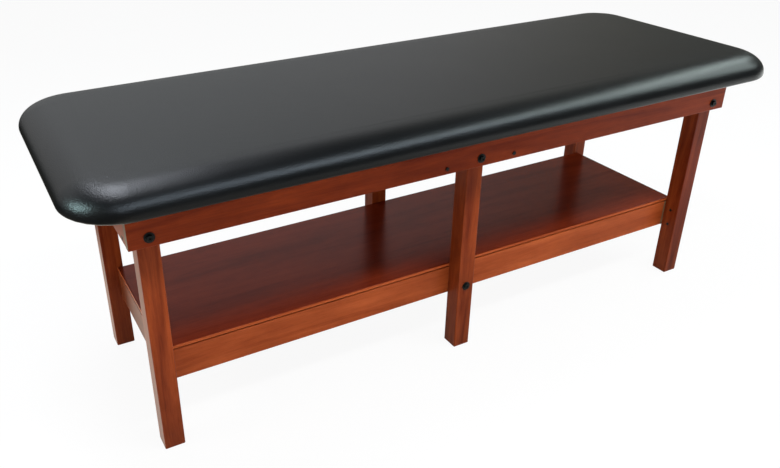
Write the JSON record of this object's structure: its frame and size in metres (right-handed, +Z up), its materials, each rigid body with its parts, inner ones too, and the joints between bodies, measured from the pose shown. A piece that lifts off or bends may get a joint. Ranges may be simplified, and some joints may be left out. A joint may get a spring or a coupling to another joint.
{
  "type": "chiropractic table",
  "caption": "Fixed wooden treatment bench with a rolled-edge black vinyl pad on a deep apron, square legs bolted inside it, and a storage shelf on a low frame.",
  "frame": {"origin": "on the floor under the middle of the pad", "axes": "+X along the bench to its right end, -Y its front, +Z up"},
  "size_m": [1.829, 0.66, 0.6659],
  "materials": {
    "black_vinyl": "fine-grained, soft sheen",
    "foam": "open-cell foam",
    "plywood": "unfinished birch face",
    "cherry_apron": "cherry stain under semi-gloss lacquer",
    "cherry_leg": "cherry stain under semi-gloss lacquer",
    "cherry_rail": "cherry stain, lighter, semi-gloss lacquer",
    "cherry_shelf": "dark cherry stain, glossy lacquer",
    "cherry_inner": "cherry stain, thin lacquer",
    "black_steel": "black oxide, satin",
    "zinc_steel": "zinc plated",
    "beech_dowel": "bare beech"
  },
  "bodies": {
    "root": {"vinyl_cover": "black_vinyl", "foam_pad": "foam", "deck_board": "plywood", "front_apron": "cherry_apron", "back_apron": "cherry_apron", "left_end_apron": "cherry_apron", "right_end_apron": "cherry_apron", "left_cross_bearer": "cherry_inner", "right_cross_bearer": "cherry_inner", "front_left_leg": "cherry_leg", "front_middle_leg": "cherry_leg", "front_right_leg": "cherry_leg", "back_left_leg": "cherry_leg", "back_middle_leg": "cherry_leg", "back_right_leg": "cherry_leg", "front_left_deck_cleat": "cherry_inner", "front_right_deck_cleat": "cherry_inner", "back_left_deck_cleat": "cherry_inner", "back_right_deck_cleat": "cherry_inner", "front_lower_rail": "cherry_rail", "back_lower_rail": "cherry_rail", "left_end_stretcher": "cherry_rail", "right_end_stretcher": "cherry_rail", "left_shelf_bearer": "cherry_inner", "right_shelf_bearer": "cherry_inner", "shelf_panel": "cherry_shelf", "shelf_glue_blocks": "cherry_inner", "apron_bolts": "black_steel", "rail_bolts": "black_steel", "end_apron_bolts": "black_steel", "head_washers": "black_steel", "nut_washers": "zinc_steel", "hex_nuts": "zinc_steel", "bearer_screws": "black_steel", "deck_screws": "zinc_steel", "shelf_screws": "zinc_steel", "tenon_pins": "black_steel", "frame_dowels": "beech_dowel"}
  },
  "joints": []
}
